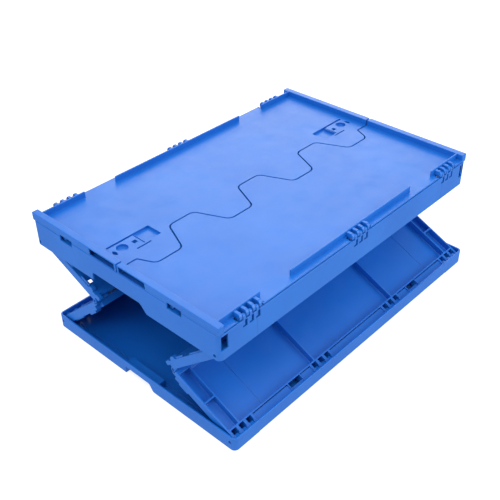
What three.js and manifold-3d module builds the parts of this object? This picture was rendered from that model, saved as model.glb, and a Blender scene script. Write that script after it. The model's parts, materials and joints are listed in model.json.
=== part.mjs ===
// Folding crate with an attached two-part lid, half folded, in millimetres, +Z up.
// The long sides fold inwards at a hinge half way up, and the end walls swing up under the lid.
// Origin: the middle of the base's underside. X is the long way, front is -Y and left is -X.
import * as THREE from "three";
import { mergeVertices } from "three/addons/utils/BufferGeometryUtils.js";
import Module from "manifold-3d";

const wasm = await Module();
wasm.setup();

// Driving dimensions
const LENGTH = 600;
const WIDTH = 400;
const BASE_HEIGHT = 25;
const FRAME_HEIGHT = 44;
const STRIP_TOP = 58; // top of the lid's end strips, above the frame's lower edge
const SHELL = 3; // wall of the base rim and of the frame
const FLOOR = 3;
const CORNER_RADIUS = 8;
const WALL_RISE = 130; // from hinge to hinge of each half of a long side, measured up the wall
const WALL_THICK = 14;
const PIVOT_INSET = 190.5; // base and frame hinge lines, from the crate's middle line
const PIVOT_OFFSET = 5.5; // the same lines, inside the outer face of the standing walls
const BASE_PIVOT = 14; // above the base's underside
const FRAME_PIVOT = 7; // above the frame's lower edge
const WALL_HALF = 294.5; // half the length of a long wall
const FOLD = THREE.MathUtils.degToRad(54.4); // mean lean of the wall halves at rest
const SWAY = THREE.MathUtils.degToRad(8.5); // how far the frame has swung to the back

// Hinges
const ROD_RADIUS = 1.9;
const BORE_RADIUS = 2.6;
const LOOP_SIDES = 8; // sides of the rods, the bores and the hidden hinge loops
const KNUCKLE_SIDES = 10; // sides of the hinge loops in plain sight
const BARREL = 5.5; // hinge edge of a wall
const KNUCKLE = 4; // hinge loops half way up a long side
const LUG_RADIUS = 4.3; // hinge loops of the base and the frame
const LUG_CUT = 5.2; // half height of the notch that clears such a loop
const BASE_GROUPS = [-270, -93, 93, 270];
const MID_GROUPS = [-282.5, -140, 0, 140, 282.5];
const FRAME_GROUPS = [-272, -93, 93, 272];
const LUG_STEP = 13; // each group's two loops sit this far from its middle
const LUG_WIDE = 7;
const SIDE_GAP = 0.7; // beside each loop

// End walls, hung from the frame
const END_PIVOT_X = 289.5;
const END_PIVOT_Z = 36;
const END_OUTER = 6;
const END_INNER = 5.5;
const END_DROP = 285;
const END_HALF = 181;
const END_LUG_Y = 117;
const END_LUG_WIDE = 12;

// Lid
const LID_BOTTOM = 45.2;
const LID_TOP = 47.8;
const LID_EDGE = 199; // half width over both lids
const LID_PIVOT_Y = 196.6;
const LID_PIVOT_Z = 48.5;
const LID_KNUCKLE = 3.4;
const LID_PIN = 1.25;
const LID_BORE = 1.65;
const LID_GROUPS = [-240, 0, 240];
const FINGER_PITCH = 12.5;
const FINGER_WIDE = 5;
const PIN_HALF = 23;
const STRIP_WIDE = 11.5;
const STRIP_SKIRT = 50.5; // lower edge of the end strips' outer skirt
const END_STRIP_INNER = LENGTH / 2 - STRIP_WIDE + 1; // where the edge ribs run into the strips
const RIB_FACE = 188; // outer face of the raised edge ribs, from the middle line
const RIB_THICK = 2.5;
const WAVE_HALF = 28.5; // half the depth of the joint's teeth
const WAVE_STEP = 75; // from one slanted flank to the next
const FLANK = 12.5; // half the width of a slanted flank
const SPLIT_GAP = 0.5; // on each side of the joint line

const LINK = Math.hypot(WALL_RISE, PIVOT_OFFSET);
const LEAN = Math.atan2(PIVOT_OFFSET, WALL_RISE); // hinge line against wall face
const RISE = 2 * LINK * Math.cos(FOLD) * Math.cos(SWAY);
const FRAME_SHIFT = 2 * LINK * Math.cos(FOLD) * Math.sin(SWAY);
const FRAME_BOTTOM = BASE_PIVOT + RISE - FRAME_PIVOT;

const bluePlastic = new THREE.MeshStandardMaterial({ color: 0x2f6fd6, roughness: 0.42, metalness: 0 });
const lidPlastic = new THREE.MeshStandardMaterial({ color: 0x4a8ae2, roughness: 0.38, metalness: 0 });
const steel = new THREE.MeshStandardMaterial({ color: 0xb8bcc2, roughness: 0.35, metalness: 1 });

// A closed geometry as a solid that can be cut and joined.
function solidOf(geometry) {
  geometry.deleteAttribute("normal");
  geometry.deleteAttribute("uv");
  const merged = mergeVertices(geometry, 1e-4);
  return new wasm.Manifold(
    new wasm.Mesh({
      numProp: 3,
      vertProperties: new Float32Array(merged.attributes.position.array),
      triVerts: new Uint32Array(merged.index.array),
    }),
  );
}

function meshOf(name, solid, material) {
  const { vertProperties, triVerts } = solid.getMesh();
  const geometry = new THREE.BufferGeometry();
  geometry.setAttribute("position", new THREE.BufferAttribute(new Float32Array(vertProperties), 3));
  geometry.setIndex(new THREE.BufferAttribute(new Uint32Array(triVerts), 1));
  geometry.computeVertexNormals();
  const mesh = new THREE.Mesh(geometry, material);
  mesh.name = name;
  return mesh;
}

function box(x0, x1, y0, y1, z0, z1) {
  const geometry = new THREE.BoxGeometry(Math.abs(x1 - x0), Math.abs(y1 - y0), Math.abs(z1 - z0));
  geometry.translate((x0 + x1) / 2, (y0 + y1) / 2, (z0 + z1) / 2);
  return solidOf(geometry);
}

function rodX(x0, x1, y, z, radius, sides = LOOP_SIDES) {
  const geometry = new THREE.CylinderGeometry(radius, radius, x1 - x0, sides);
  geometry.rotateZ(Math.PI / 2);
  geometry.translate((x0 + x1) / 2, y, z);
  return solidOf(geometry);
}

function rodY(y0, y1, x, z, radius, sides = LOOP_SIDES) {
  const geometry = new THREE.CylinderGeometry(radius, radius, y1 - y0, sides);
  geometry.translate(x, (y0 + y1) / 2, z);
  return solidOf(geometry);
}

function rodZ(z0, z1, x, y, radius, sides = 16) {
  const geometry = new THREE.CylinderGeometry(radius, radius, z1 - z0, sides);
  geometry.rotateX(Math.PI / 2);
  geometry.translate(x, y, (z0 + z1) / 2);
  return solidOf(geometry);
}

// A shape drawn in the XY plane, raised from z0 to z1.
function plate(shape, z0, z1, curveSegments = 4) {
  const geometry = new THREE.ExtrudeGeometry(shape, { depth: z1 - z0, bevelEnabled: false, curveSegments });
  geometry.translate(0, 0, z0);
  return solidOf(geometry);
}

// A shape drawn as (y, z), drawn out along X from x0 to x1.
function barX(shape, x0, x1, curveSegments = 5) {
  const geometry = new THREE.ExtrudeGeometry(shape, { depth: x1 - x0, bevelEnabled: false, curveSegments });
  geometry.applyMatrix4(new THREE.Matrix4().set(0, 0, 1, x0, 1, 0, 0, 0, 0, 1, 0, 0, 0, 0, 0, 1));
  return solidOf(geometry);
}

function shapeOf(points) {
  return new THREE.Shape(points.map(([x, y]) => new THREE.Vector2(x, y)));
}

function joined(solids) {
  return solids.reduce((whole, solid) => whole.add(solid));
}

function cut(solid, tools) {
  return tools.reduce((left, tool) => left.subtract(tool), solid);
}

function turned(solid, degreesZ) {
  return solid.rotate([0, 0, degreesZ]);
}

function roundedRectangle(halfX, halfY, radius) {
  const shape = new THREE.Shape();
  shape.moveTo(-halfX + radius, -halfY);
  shape.absarc(halfX - radius, -halfY + radius, radius, -Math.PI / 2, 0);
  shape.absarc(halfX - radius, halfY - radius, radius, 0, Math.PI / 2);
  shape.absarc(-halfX + radius, halfY - radius, radius, Math.PI / 2, Math.PI);
  shape.absarc(-halfX + radius, -halfY + radius, radius, Math.PI, 1.5 * Math.PI);
  return shape;
}

// A rectangular shell with rounded upright corners, open at the top and the bottom.
function skirt(height) {
  const outer = plate(roundedRectangle(LENGTH / 2, WIDTH / 2, CORNER_RADIUS), 0, height);
  const inner = plate(
    roundedRectangle(LENGTH / 2 - SHELL, WIDTH / 2 - SHELL, CORNER_RADIUS - SHELL),
    -1,
    height + 1,
  );
  return outer.subtract(inner);
}

// Where the hinge loops of one side of a hinge sit: two in each group.
function lugCentres(groups) {
  return groups.flatMap((middle) => [middle - LUG_STEP, middle + LUG_STEP]);
}

// The grip notch in an end: a square step at one end and a slope at the other, as (y, z) points.
function gripShape(depth, back, front, slope) {
  return shapeOf([
    [back, -1],
    [back, depth - 3],
    [back - 3, depth],
    [front + slope, depth],
    [front + slope * 0.6, depth * 0.8],
    [front + slope * 0.3, depth * 0.2],
    [front, 0],
    [front, -1],
  ]);
}

// Base tray
const GRIP_HALF = 33;
const GRIP_DEPTH = 13;

function baseEnd() {
  const x = -LENGTH / 2;
  const boss = box(x + 1, x + 20, -GRIP_HALF - 4, GRIP_HALF + 4, FLOOR - 1, GRIP_DEPTH + 4);
  const rail = box(x + 20.5, x + 23, -172, 172, FLOOR - 1, FLOOR + 2);
  // beyond the pads the folded side halves lie low, so nothing else stands up under them
  const pads = [-1, 1].flatMap((side) => [
    box(x + 6, x + 14, side * 44, side * 70, FLOOR - 1, FLOOR + 4),
    box(x + 1, x + 4.5, side * 128, side * 140, FLOOR - 1, FLOOR + 9),
  ]);
  const grip = barX(gripShape(GRIP_DEPTH, GRIP_HALF, -GRIP_HALF, 12), x - 1, x + 17);
  return { add: [boss, rail, ...pads], remove: [grip] };
}

function baseLug(x) {
  const half = LUG_WIDE / 2;
  const rim = -WIDTH / 2 + 1;
  return [
    box(x - half, x + half, rim, -PIVOT_INSET, FLOOR - 1, BASE_PIVOT + LUG_RADIUS),
    box(x - half, x + half, -PIVOT_INSET - 1, -PIVOT_INSET + LUG_RADIUS, FLOOR - 1, BASE_PIVOT),
    rodX(x - half, x + half, -PIVOT_INSET, BASE_PIVOT, LUG_RADIUS),
  ];
}

function baseTray() {
  const end = baseEnd();
  const side = lugCentres(BASE_GROUPS).flatMap(baseLug);
  const floor = plate(roundedRectangle(LENGTH / 2, WIDTH / 2, CORNER_RADIUS), 0, FLOOR);
  const half = [...end.add, ...side];
  let tray = joined([skirt(BASE_HEIGHT), floor, ...half, ...half.map((piece) => turned(piece, 180))]);
  tray = cut(tray, [...end.remove, ...end.remove.map((piece) => turned(piece, 180))]);
  const bores = [-1, 1].map((side2) =>
    rodX(-LENGTH / 2 - 1, LENGTH / 2 + 1, side2 * PIVOT_INSET, BASE_PIVOT, BORE_RADIUS),
  );
  // the lower edge of each long side is set up a little between the corner feet
  const set = [-1, 1].map((side2) =>
    box(-249, 249, side2 * (WIDTH / 2 - 2), side2 * (WIDTH / 2 + 1), -1, 2),
  );
  return cut(tray, [...bores, ...set]);
}

// Long walls. Each is drawn standing, for the front, with its outer face towards -Y.
const SKIN = 2.6;
const CROSS_RIB = 103;
const END_RIB = 271;
const RIB_HALF = 1.25;
const RIM = 3;

function outerPockets(outerY, z0, z1, zMiddle) {
  const deep = WALL_THICK - SKIN;
  const across = [
    [-WALL_HALF + RIM, -END_RIB - RIB_HALF],
    [-END_RIB + RIB_HALF, -CROSS_RIB - RIB_HALF],
    [-CROSS_RIB + RIB_HALF, CROSS_RIB - RIB_HALF],
    [CROSS_RIB + RIB_HALF, END_RIB - RIB_HALF],
    [END_RIB + RIB_HALF, WALL_HALF - RIM],
  ];
  return across.flatMap(([x0, x1]) => {
    const heights =
      Math.abs(x0 + x1) > 2 * END_RIB
        ? [
            [z0, zMiddle - RIB_HALF],
            [zMiddle + RIB_HALF, z1],
          ]
        : [[z0, z1]];
    return heights.map(([low, high]) => box(x0, x1, outerY - 1, outerY + deep, low, high));
  });
}

function midKnuckles(centres, y, z) {
  const half = 3.5;
  return centres.map((x) => rodX(x - half, x + half, y, z, KNUCKLE, KNUCKLE_SIDES));
}

const LOWER_KNUCKLES = MID_GROUPS;
const UPPER_KNUCKLES = MID_GROUPS.flatMap((middle) => [middle - 8.5, middle + 8.5]);

function lowerWall() {
  const outer = -PIVOT_OFFSET;
  const inner = outer + WALL_THICK;
  const top = WALL_RISE - 0.5;
  const profile = new THREE.Shape();
  profile.moveTo(outer, top);
  profile.lineTo(-BARREL, 0);
  profile.absarc(0, 0, BARREL, Math.PI, 1.6 * Math.PI);
  profile.lineTo(inner, -1);
  profile.lineTo(inner, top);
  let wall = barX(profile, -WALL_HALF, WALL_HALF, 4);
  const bosses = [-1, 1].map((side) =>
    box(side * (WALL_HALF - 12), side * WALL_HALF, inner - 1, inner + 3.5, WALL_RISE - 38, WALL_RISE - 18),
  );
  wall = joined([wall, ...bosses]);
  const lugNotches = lugCentres(BASE_GROUPS).map((x) => {
    const half = LUG_WIDE / 2 + SIDE_GAP;
    return box(x - half, x + half, -BARREL - 1, inner + 1, -BARREL - 2, LUG_CUT);
  });
  const drains = [-1, 1].map((side) =>
    box(side * 142, side * 168, -BARREL - 1, inner + 1, -BARREL - 2, 7),
  );
  const groove = box(-262, 262, outer - 1, outer + 1, 9, 10.5);
  const knuckleNotches = UPPER_KNUCKLES.map((x) =>
    box(x - 4.2, x + 4.2, outer - 1, outer + KNUCKLE + 0.7, WALL_RISE - KNUCKLE - 0.7, WALL_RISE + 1),
  );
  // room for the tongues of the upper half
  const tongueRoom = [-1, 1].map((side) =>
    box(side * (WALL_HALF - 9), side * (WALL_HALF + 1), outer + 7, inner + 5, WALL_RISE - 9, WALL_RISE + 1),
  );
  wall = cut(wall, [
    ...outerPockets(outer, 14, WALL_RISE - 11, 64),
    ...lugNotches,
    ...drains,
    groove,
    ...knuckleNotches,
    ...tongueRoom,
  ]);
  wall = joined([wall, ...midKnuckles(LOWER_KNUCKLES, outer, WALL_RISE)]);
  return cut(wall, [
    rodX(-WALL_HALF - 1, WALL_HALF + 1, 0, 0, BORE_RADIUS),
    rodX(-WALL_HALF - 1, WALL_HALF + 1, outer, WALL_RISE, BORE_RADIUS),
  ]);
}

function upperWall() {
  const inner = WALL_THICK;
  const profile = new THREE.Shape();
  profile.moveTo(0, 0.5);
  profile.lineTo(inner, 0.5);
  profile.lineTo(inner, WALL_RISE + 2);
  profile.lineTo(inner - 2, WALL_RISE + 4);
  profile.absarc(PIVOT_OFFSET, WALL_RISE, BARREL, 0.3 * Math.PI, Math.PI);
  let wall = barX(profile, -WALL_HALF, WALL_HALF, 4);
  const ends = [-1, 1].flatMap((side) => {
    const x0 = side * (WALL_HALF - 8);
    const x1 = side * WALL_HALF;
    return [
      box(x0, x1, 8, inner + 1.5, -7.5, 2),
      rodX(Math.min(x0, x1), Math.max(x0, x1), inner, 14, 5.5, KNUCKLE_SIDES),
      box(side * (WALL_HALF - 6), side * (WALL_HALF - 2), inner - 1, inner + 2.5, 20, 40),
    ];
  });
  wall = joined([wall, ...ends]);
  const lugNotches = lugCentres(FRAME_GROUPS).map((x) => {
    const half = LUG_WIDE / 2 + SIDE_GAP;
    return box(x - half, x + half, -1, inner + 1, WALL_RISE - LUG_CUT, WALL_RISE + BARREL + 2);
  });
  const knuckleNotches = LOWER_KNUCKLES.map((x) =>
    box(x - 4.2, x + 4.2, -1, KNUCKLE + 0.7, -1, KNUCKLE + 0.7),
  );
  const lookThrough = [-1, 1].map((side) => box(side * 275, side * 288, 0, inner + 1, 24, 32));
  wall = cut(wall, [
    ...outerPockets(0, 11, WALL_RISE - 14, 66),
    ...lugNotches,
    ...knuckleNotches,
    ...lookThrough,
  ]);
  wall = joined([wall, ...midKnuckles(UPPER_KNUCKLES, 0, 0)]);
  return cut(wall, [
    rodX(-WALL_HALF - 1, WALL_HALF + 1, 0, 0, BORE_RADIUS),
    rodX(-WALL_HALF - 1, WALL_HALF + 1, PIVOT_OFFSET, WALL_RISE, BORE_RADIUS),
  ]);
}

// End wall, drawn hanging from its hinge at the origin, for the left end: outside is -X.
function endWall() {
  const profile = new THREE.Shape();
  profile.moveTo(-END_OUTER, 0);
  profile.lineTo(-END_OUTER, -END_DROP);
  profile.lineTo(END_INNER, -END_DROP);
  profile.lineTo(END_INNER, 0);
  profile.absarc(0, 0, END_INNER, 0, Math.PI);
  const geometry = new THREE.ExtrudeGeometry(profile, {
    depth: 2 * END_HALF,
    bevelEnabled: false,
    curveSegments: 6,
  });
  geometry.rotateX(Math.PI / 2);
  geometry.translate(0, END_HALF, 0);
  let wall = solidOf(geometry);
  const skin = END_INNER - 2.5;
  const rows = [
    [-END_DROP + 6, -202],
    [-198, -133],
    [-129, -66],
  ];
  const columns = [
    [-END_HALF + 4, -88],
    [-85, 85],
    [88, END_HALF - 4],
  ];
  const pockets = rows.flatMap(([z0, z1]) =>
    columns.map(([y0, y1]) => box(-END_OUTER - 1, skin, y0, y1, z0, z1)),
  );
  const upper = [-1, 1].map((side) =>
    box(-END_OUTER - 1, skin, side * 64, side * (END_HALF - 4), -62, -14),
  );
  const hand = box(-END_OUTER - 1, END_INNER + 1, -54, 54, -56, -26);
  const lugs = [-1, 1].map((side) =>
    box(
      -END_OUTER - 1,
      END_INNER + 1,
      side * END_LUG_Y - END_LUG_WIDE / 2 - SIDE_GAP,
      side * END_LUG_Y + END_LUG_WIDE / 2 + SIDE_GAP,
      -LUG_CUT,
      END_OUTER + 1,
    ),
  );
  return cut(wall, [
    ...pockets,
    ...upper,
    hand,
    ...lugs,
    rodY(-END_HALF - 1, END_HALF + 1, 0, 0, BORE_RADIUS),
  ]);
}

// Top frame, drawn with its lower edge at z = 0.
function frameLug(x) {
  const half = LUG_WIDE / 2;
  return [
    box(x - half, x + half, -WIDTH / 2 + 1, -PIVOT_INSET, FRAME_PIVOT - LUG_RADIUS, FRAME_PIVOT + 8),
    box(x - half, x + half, -PIVOT_INSET - 1, -PIVOT_INSET + 3, FRAME_PIVOT, FRAME_PIVOT + 8),
    rodX(x - half, x + half, -PIVOT_INSET, FRAME_PIVOT, LUG_RADIUS),
  ];
}

function frameEndLug(y) {
  const half = END_LUG_WIDE / 2;
  const x = -END_PIVOT_X;
  const low = END_PIVOT_Z - LUG_RADIUS;
  return [
    box(-LENGTH / 2 + 1, x, y - half, y + half, low, END_PIVOT_Z + LUG_RADIUS),
    rodY(y - half, y + half, x, END_PIVOT_Z, LUG_RADIUS),
  ];
}

// Brackets on the end that hold the tips of the end wall's rod.
function frameRodBoss(sideY) {
  const x = -LENGTH / 2 + 1;
  const low = END_PIVOT_Z - LUG_RADIUS;
  return box(x, -END_PIVOT_X + LUG_RADIUS, sideY * 184, sideY * 189.5, low, END_PIVOT_Z + LUG_RADIUS);
}

function lidLug(x) {
  const half = FINGER_WIDE / 2 - 0.1;
  return [
    rodX(x - half, x + half, -LID_PIVOT_Y, LID_PIVOT_Z, LID_KNUCKLE),
    box(x - half, x + half, -WIDTH / 2, -LID_PIVOT_Y + 2.6, FRAME_HEIGHT - 3, LID_PIVOT_Z),
  ];
}

function topFrame() {
  const lugs = lugCentres(FRAME_GROUPS).flatMap(frameLug);
  const endLugs = [-END_LUG_Y, END_LUG_Y].flatMap(frameEndLug);
  const bosses = [-1, 1].map(frameRodBoss);
  const lidLugs = LID_GROUPS.flatMap((middle) =>
    [-FINGER_PITCH, 0, FINGER_PITCH].flatMap((step) => lidLug(middle + step)),
  );
  const half = [...lugs, ...endLugs, ...bosses, ...lidLugs];
  const frame = joined([skirt(FRAME_HEIGHT), ...half, ...half.map((piece) => turned(piece, 180))]);
  const front = -WIDTH / 2;
  const left = -LENGTH / 2;
  const windows = [-1, 1].map((side) => box(side * 283.5, side * 296.5, front - 1, front + 3.1, 17, 41));
  const slots = LID_GROUPS.flatMap((middle) =>
    [-FINGER_PITCH, 0, FINGER_PITCH].map((step) => {
      const x = middle + step;
      return box(x - 2, x + 2, front - 1, front + 4, 32.5, 40);
    }),
  );
  const endSlots = [-1, 1].map((side) => box(left - 1, left + 2.2, side * 103, side * 131, 34.5, 42));
  const grip = barX(gripShape(14, 60, -61, 18), left - 1, left + 4);
  const bores = [
    rodX(left - 1, -left + 1, -PIVOT_INSET, FRAME_PIVOT, BORE_RADIUS),
    rodY(-192, 192, -END_PIVOT_X, END_PIVOT_Z, BORE_RADIUS),
    ...LID_GROUPS.map((middle) =>
      rodX(middle - PIN_HALF, middle + PIN_HALF, -LID_PIVOT_Y, LID_PIVOT_Z, LID_BORE),
    ),
  ];
  const tools = [...windows, ...slots, ...endSlots, grip, ...bores];
  return cut(frame, [...tools, ...tools.map((tool) => turned(tool, 180))]);
}

// The joint between the lids: flat-topped teeth with rounded corners, level at both ends.
function jointLine(offset) {
  const corners = [[-LENGTH / 2, 0, 0]];
  const first = -3.5 * WAVE_STEP;
  corners.push([first, 0, 3]);
  for (let k = 0; k < 8; k += 1) {
    const middle = first + k * WAVE_STEP;
    const from = k % 2 === 0 ? WAVE_HALF : -WAVE_HALF;
    if (k > 0) corners.push([middle - FLANK, from, 13]);
    if (k < 7) corners.push([middle + FLANK, -from, 13]);
  }
  corners.push([-first, 0, 3]);
  corners.push([LENGTH / 2, 0, 0]);
  return roundedPath(corners).map(([x, y]) => [x, y + offset]);
}

// Corner points [x, y, radius] with each corner swapped for an arc of that radius.
function roundedPath(corners) {
  return corners.flatMap(([x, y, radius], index) => {
    if (radius === 0) return [[x, y]];
    const here = new THREE.Vector2(x, y);
    const back = new THREE.Vector2(...corners[index - 1]).sub(here).normalize();
    const ahead = new THREE.Vector2(...corners[index + 1]).sub(here).normalize();
    const half = Math.acos(back.dot(ahead)) / 2;
    const reach = radius / Math.tan(half);
    const centre = back.clone().add(ahead).normalize().multiplyScalar(radius / Math.sin(half)).add(here);
    const start = here.clone().addScaledVector(back, reach).sub(centre);
    const end = here.clone().addScaledVector(ahead, reach).sub(centre);
    const turn = Math.atan2(start.cross(end), start.dot(end));
    const steps = 4;
    return Array.from({ length: steps + 1 }, (_, step) => {
      const point = start.clone().rotateAround(new THREE.Vector2(), (turn * step) / steps).add(centre);
      return [point.x, point.y];
    });
  });
}

// The four fingers of a lid that loop round one hinge pin.
function lidFingers(middle) {
  const rib = -RIB_FACE - 0.2;
  return [-1.5, -0.5, 0.5, 1.5].flatMap((step) => {
    const x = middle + step * FINGER_PITCH;
    const half = FINGER_WIDE / 2;
    const arm = shapeOf([
      [rib + 1, LID_BOTTOM],
      [rib + 1, 54.5],
      [rib - 2.5, 54.2],
      [rib - 6, 53],
      [-LID_PIVOT_Y - 1, LID_PIVOT_Z + LID_KNUCKLE - 0.4],
      [-LID_PIVOT_Y, LID_PIVOT_Z - 2],
      [rib - 2.6, LID_PIVOT_Z - 2],
      [rib - 2.6, LID_BOTTOM],
    ]);
    return [
      barX(arm, x - half, x + half),
      rodX(x - half, x + half, -LID_PIVOT_Y, LID_PIVOT_Z, LID_KNUCKLE, KNUCKLE_SIDES),
    ];
  });
}

// Half of the lid that hangs on the front hinges.
function lidHalf(line, lockSide) {
  const edge = -LID_EDGE;
  const end = LENGTH / 2 - 0.5;
  const outline = shapeOf([[-end, edge], [end, edge], ...line]);
  let lid = plate(outline, LID_BOTTOM, LID_TOP);
  const strips = [-1, 1].flatMap((side) => {
    const outerX = (side * LENGTH) / 2;
    const innerX = outerX - side * STRIP_WIDE;
    const y0 = -WIDTH / 2 + 0.5;
    const y1 = -SPLIT_GAP;
    return [
      box(outerX, innerX, y0, y1, STRIP_TOP - 2.6, STRIP_TOP),
      box(innerX, innerX + side * 2.4, y0 + 1, y1, LID_BOTTOM + 1, STRIP_TOP - 1),
      box(outerX, outerX - side * 2.2, y0, y1, STRIP_SKIRT, STRIP_TOP - 1),
      box(outerX - side * 1, innerX, y0, y0 + 2.2, STRIP_SKIRT, STRIP_TOP - 1),
      box(outerX - side * 2, innerX, y1 - 2.2, y1, LID_BOTTOM + 1, STRIP_TOP - 1),
    ];
  });
  const ribY = [-RIB_FACE, -RIB_FACE + RIB_THICK];
  const ribs = [
    box(-147, 147, ...ribY, LID_BOTTOM + 1, STRIP_TOP),
    box(-END_STRIP_INNER, -209, ...ribY, LID_BOTTOM + 1, STRIP_TOP),
    box(209, END_STRIP_INNER, ...ribY, LID_BOTTOM + 1, STRIP_TOP),
  ];
  const hingeRoom = LID_GROUPS.map((middle) =>
    box(middle - PIN_HALF - 2, middle + PIN_HALF + 2, edge - 2, -RIB_FACE - 3, LID_BOTTOM - 1, LID_TOP + 1),
  );
  // finger recess under the end strips
  const recess = [-1, 1].map((side) => {
    const outerX = (side * (LENGTH + 2)) / 2;
    return box(outerX, outerX - side * 4, -60, -4.5, LID_TOP + 0.2, STRIP_TOP - 2.6);
  });
  lid = cut(joined([lid, ...strips, ...ribs]), [...hingeRoom, ...recess]);
  lid = joined([lid, ...LID_GROUPS.flatMap(lidFingers)]);
  const bores = LID_GROUPS.map((middle) =>
    rodX(middle - PIN_HALF - 3, middle + PIN_HALF + 3, -LID_PIVOT_Y, LID_PIVOT_Z, LID_BORE),
  );
  return cut(lid, [...bores, ...lockSide.flatMap(lockCuts)]);
}

// Seal recesses beside the joint at one end of the back lid, here turned to the front.
function lockCuts(side) {
  const top = LID_TOP + 1;
  const shallow = LID_TOP - 1.2;
  const through = LID_BOTTOM - 4;
  const at = (x0, x1, y0, y1, z0) => box(side * x0, side * x1, -y0, -y1, z0, top);
  return [
    at(199, 276, 49, 52, shallow),
    at(196, 199, 18, 52, shallow),
    at(228, 229.5, 20, 49, shallow),
    at(219, 246, 17.5, 19, shallow),
    at(234, 239, 32, 37, through),
    rodZ(shallow, top, side * 259, -36, 9).subtract(at(245, 273, 22, 36, shallow - 1)),
    rodZ(through, top, side * 276, -34, 3.5, 12),
  ];
}

// Puts the pieces together
const crate = new THREE.Group();

function placed(mesh, y, z, tilt = 0, half = 0) {
  const inner = new THREE.Group();
  inner.rotation.z = half;
  inner.add(mesh);
  const outer = new THREE.Group();
  outer.position.set(0, y, z);
  outer.rotation.x = tilt;
  outer.add(inner);
  return outer;
}

function rod(name, halfLength, y, z) {
  return placed(meshOf(name, rodX(-halfLength, halfLength, 0, 0, ROD_RADIUS), steel), y, z);
}

crate.add(meshOf("base_tray", baseTray(), bluePlastic));

const lower = lowerWall();
const upper = upperWall();
const sides = [
  { name: "front", out: -1, low: FOLD + SWAY, high: FOLD - SWAY, half: 0 },
  { name: "back", out: 1, low: FOLD - SWAY, high: FOLD + SWAY, half: Math.PI },
];
for (const { name, out, low, high, half } of sides) {
  const baseY = out * PIVOT_INSET;
  const midY = baseY - out * LINK * Math.sin(low);
  const midZ = BASE_PIVOT + LINK * Math.cos(low);
  const lowerMesh = meshOf(`${name}_lower_wall`, lower, bluePlastic);
  const upperMesh = meshOf(`${name}_upper_wall`, upper, bluePlastic);
  crate.add(placed(lowerMesh, baseY, BASE_PIVOT, out * (low + LEAN), half));
  crate.add(placed(upperMesh, midY, midZ, -out * (high + LEAN), half));
  crate.add(rod(`${name}_base_rod`, LENGTH / 2 - 1, baseY, BASE_PIVOT));
  crate.add(rod(`${name}_mid_rod`, WALL_HALF - 0.5, midY, midZ));
  crate.add(rod(`${name}_frame_rod`, LENGTH / 2 - 1, baseY + FRAME_SHIFT, BASE_PIVOT + RISE));
}

// Everything on the frame is drawn about the frame's own lower edge and middle.
const onFrame = new THREE.Group();
onFrame.position.set(0, FRAME_SHIFT, FRAME_BOTTOM);
crate.add(onFrame);
onFrame.add(meshOf("top_frame", topFrame(), bluePlastic));

const hung = endWall();
for (const [name, half] of [
  ["left", 0],
  ["right", Math.PI],
]) {
  const wall = meshOf(`${name}_end_wall`, hung, bluePlastic);
  wall.position.set(-END_PIVOT_X, 0, END_PIVOT_Z);
  wall.rotation.y = -Math.PI / 2;
  const pin = rodY(-190.5, 190.5, -END_PIVOT_X, END_PIVOT_Z, ROD_RADIUS);
  const end = new THREE.Group();
  end.rotation.z = half;
  end.add(wall, meshOf(`${name}_end_rod`, pin, steel));
  onFrame.add(end);
}

// A lid is drawn for the front, and the back one is turned round.
const lids = [
  { name: "front", half: 0, locks: [], line: jointLine(-SPLIT_GAP).reverse() },
  { name: "back", half: Math.PI, locks: [-1, 1], line: jointLine(SPLIT_GAP).map(([x, y]) => [-x, -y]) },
];
for (const { name, half, locks, line } of lids) {
  const side = new THREE.Group();
  side.rotation.z = half;
  const clipped = line.filter(([x]) => Math.abs(x) < LENGTH / 2);
  const ends = [[LENGTH / 2 - 0.5, -SPLIT_GAP], ...clipped, [-LENGTH / 2 + 0.5, -SPLIT_GAP]];
  side.add(meshOf(`${name}_lid`, lidHalf(ends, locks), lidPlastic));
  LID_GROUPS.forEach((middle, index) => {
    const pin = rodX(middle - PIN_HALF, middle + PIN_HALF, -LID_PIVOT_Y, LID_PIVOT_Z, LID_PIN);
    side.add(meshOf(`${name}_lid_pin_${index + 1}`, pin, steel));
  });
  onFrame.add(side);
}

export default crate;
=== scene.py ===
"""A blue folding crate with a two-part lid, half folded, on a pale studio floor.

Every moulding is worked out in millimetres in its own frame: the base about the middle of its underside,
the top frame and the lids about the middle of the frame's lower edge, a side half about its lower hinge
line and an end wall about its hinge line. It is then put where the CAD hinges are.
"""

import json
import math

import bpy
import numpy as np
from mathutils import Matrix, Vector

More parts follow.
